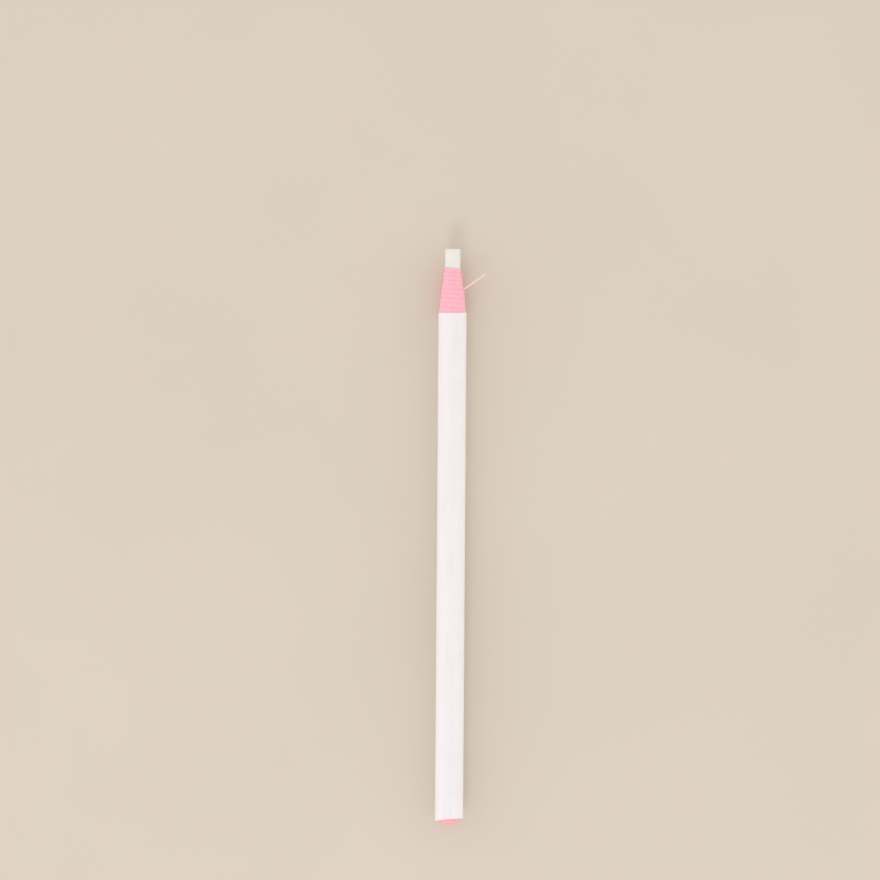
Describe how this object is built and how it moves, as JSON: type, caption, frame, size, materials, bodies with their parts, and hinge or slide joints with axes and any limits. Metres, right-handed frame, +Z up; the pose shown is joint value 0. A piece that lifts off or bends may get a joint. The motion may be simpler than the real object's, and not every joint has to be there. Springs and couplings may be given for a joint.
{
  "type": "china marker",
  "caption": "Peel-off china marker: a white wax stick rolled in pink paper with a white cover, cut into bands that a pull thread opens one after another.",
  "frame": {"origin": "on the surface that the marker lies on, under the middle of its length", "axes": "+Y along the marker from its back end to its writing tip, +Z up from the surface, +X to the side where the thread comes out"},
  "size_m": [0.0144, 0.17, 0.0084],
  "materials": {
    "wax": "satin",
    "pink_paper": "matte",
    "white_cover": "satin",
    "thread": "matte"
  },
  "bodies": {
    "core": {"wax_core": "wax", "pull_thread": "thread", "paper_butt": "pink_paper", "cover_butt": "white_cover"},
    "band_01": {"paper_band_01": "pink_paper", "cover_band_01": "white_cover"},
    "band_02": {"paper_band_02": "pink_paper", "cover_band_02": "white_cover"},
    "band_03": {"paper_band_03": "pink_paper", "cover_band_03": "white_cover"},
    "band_04": {"paper_band_04": "pink_paper", "cover_band_04": "white_cover"},
    "band_05": {"paper_band_05": "pink_paper", "cover_band_05": "white_cover"},
    "band_06": {"paper_band_06": "pink_paper", "cover_band_06": "white_cover"},
    "band_07": {"paper_band_07": "pink_paper", "cover_band_07": "white_cover"},
    "band_08": {"paper_band_08": "pink_paper", "cover_band_08": "white_cover"},
    "band_09": {"paper_band_09": "pink_paper", "cover_band_09": "white_cover"},
    "band_10": {"paper_band_10": "pink_paper", "cover_band_10": "white_cover"},
    "band_11": {"paper_band_11": "pink_paper", "cover_band_11": "white_cover"},
    "band_12": {"paper_band_12": "pink_paper", "cover_band_12": "white_cover"},
    "band_13": {"paper_band_13": "pink_paper", "cover_band_13": "white_cover"},
    "band_14": {"paper_band_14": "pink_paper", "cover_band_14": "white_cover"},
    "band_15": {"paper_band_15": "pink_paper", "cover_band_15": "white_cover"},
    "band_16": {"paper_band_16": "pink_paper", "cover_band_16": "white_cover"},
    "band_17": {"paper_band_17": "pink_paper", "cover_band_17": "white_cover"},
    "band_18": {"paper_band_18": "pink_paper", "cover_band_18": "white_cover"},
    "band_19": {"paper_band_19": "pink_paper", "cover_band_19": "white_cover"},
    "band_20": {"paper_band_20": "pink_paper", "cover_band_20": "white_cover"},
    "band_21": {"paper_band_21": "pink_paper", "cover_band_21": "white_cover"},
    "tail": {"thread_tail": "thread"}
  },
  "joints": [
    {"name": "peel_21", "type": "slide", "parent": "core", "child": "band_21", "axis": [0, 1, 0], "range_m": [0, 0.0125]},
    {"name": "peel_20", "type": "slide", "parent": "band_21", "child": "band_20", "axis": [0, 1, 0], "range_m": [0, 0.0125]},
    {"name": "peel_19", "type": "slide", "parent": "band_20", "child": "band_19", "axis": [0, 1, 0], "range_m": [0, 0.0125]},
    {"name": "peel_18", "type": "slide", "parent": "band_19", "child": "band_18", "axis": [0, 1, 0], "range_m": [0, 0.0125]},
    {"name": "peel_17", "type": "slide", "parent": "band_18", "child": "band_17", "axis": [0, 1, 0], "range_m": [0, 0.0125]},
    {"name": "peel_16", "type": "slide", "parent": "band_17", "child": "band_16", "axis": [0, 1, 0], "range_m": [0, 0.0125]},
    {"name": "peel_15", "type": "slide", "parent": "band_16", "child": "band_15", "axis": [0, 1, 0], "range_m": [0, 0.0125]},
    {"name": "peel_14", "type": "slide", "parent": "band_15", "child": "band_14", "axis": [0, 1, 0], "range_m": [0, 0.0125]},
    {"name": "peel_13", "type": "slide", "parent": "band_14", "child": "band_13", "axis": [0, 1, 0], "range_m": [0, 0.0125]},
    {"name": "peel_12", "type": "slide", "parent": "band_13", "child": "band_12", "axis": [0, 1, 0], "range_m": [0, 0.0125]},
    {"name": "peel_11", "type": "slide", "parent": "band_12", "child": "band_11", "axis": [0, 1, 0], "range_m": [0, 0.0125]},
    {"name": "peel_10", "type": "slide", "parent": "band_11", "child": "band_10", "axis": [0, 1, 0], "range_m": [0, 0.0125]},
    {"name": "peel_09", "type": "slide", "parent": "band_10", "child": "band_09", "axis": [0, 1, 0], "range_m": [0, 0.0125]},
    {"name": "peel_08", "type": "slide", "parent": "band_09", "child": "band_08", "axis": [0, 1, 0], "range_m": [0, 0.0125]},
    {"name": "peel_07", "type": "slide", "parent": "band_08", "child": "band_07", "axis": [0, 1, 0], "range_m": [0, 0.0125]},
    {"name": "peel_06", "type": "slide", "parent": "band_07", "child": "band_06", "axis": [0, 1, 0], "range_m": [0, 0.0125]},
    {"name": "peel_05", "type": "slide", "parent": "band_06", "child": "band_05", "axis": [0, 1, 0], "range_m": [0, 0.0125]},
    {"name": "peel_04", "type": "slide", "parent": "band_05", "child": "band_04", "axis": [0, 1, 0], "range_m": [0, 0.0125]},
    {"name": "peel_03", "type": "slide", "parent": "band_04", "child": "band_03", "axis": [0, 1, 0], "range_m": [0, 0.0125]},
    {"name": "peel_02", "type": "slide", "parent": "band_03", "child": "band_02", "axis": [0, 1, 0], "range_m": [0, 0.0125]},
    {"name": "peel_01", "type": "slide", "parent": "band_02", "child": "band_01", "axis": [0, 1, 0], "range_m": [0, 0.0125]},
    {"name": "free_end_swing", "type": "hinge", "parent": "band_01", "child": "tail", "pos_m": [0.0034, 0.07319, 0.0042], "axis": [0, 0, 1], "range_deg": [-78, 56]}
  ]
}
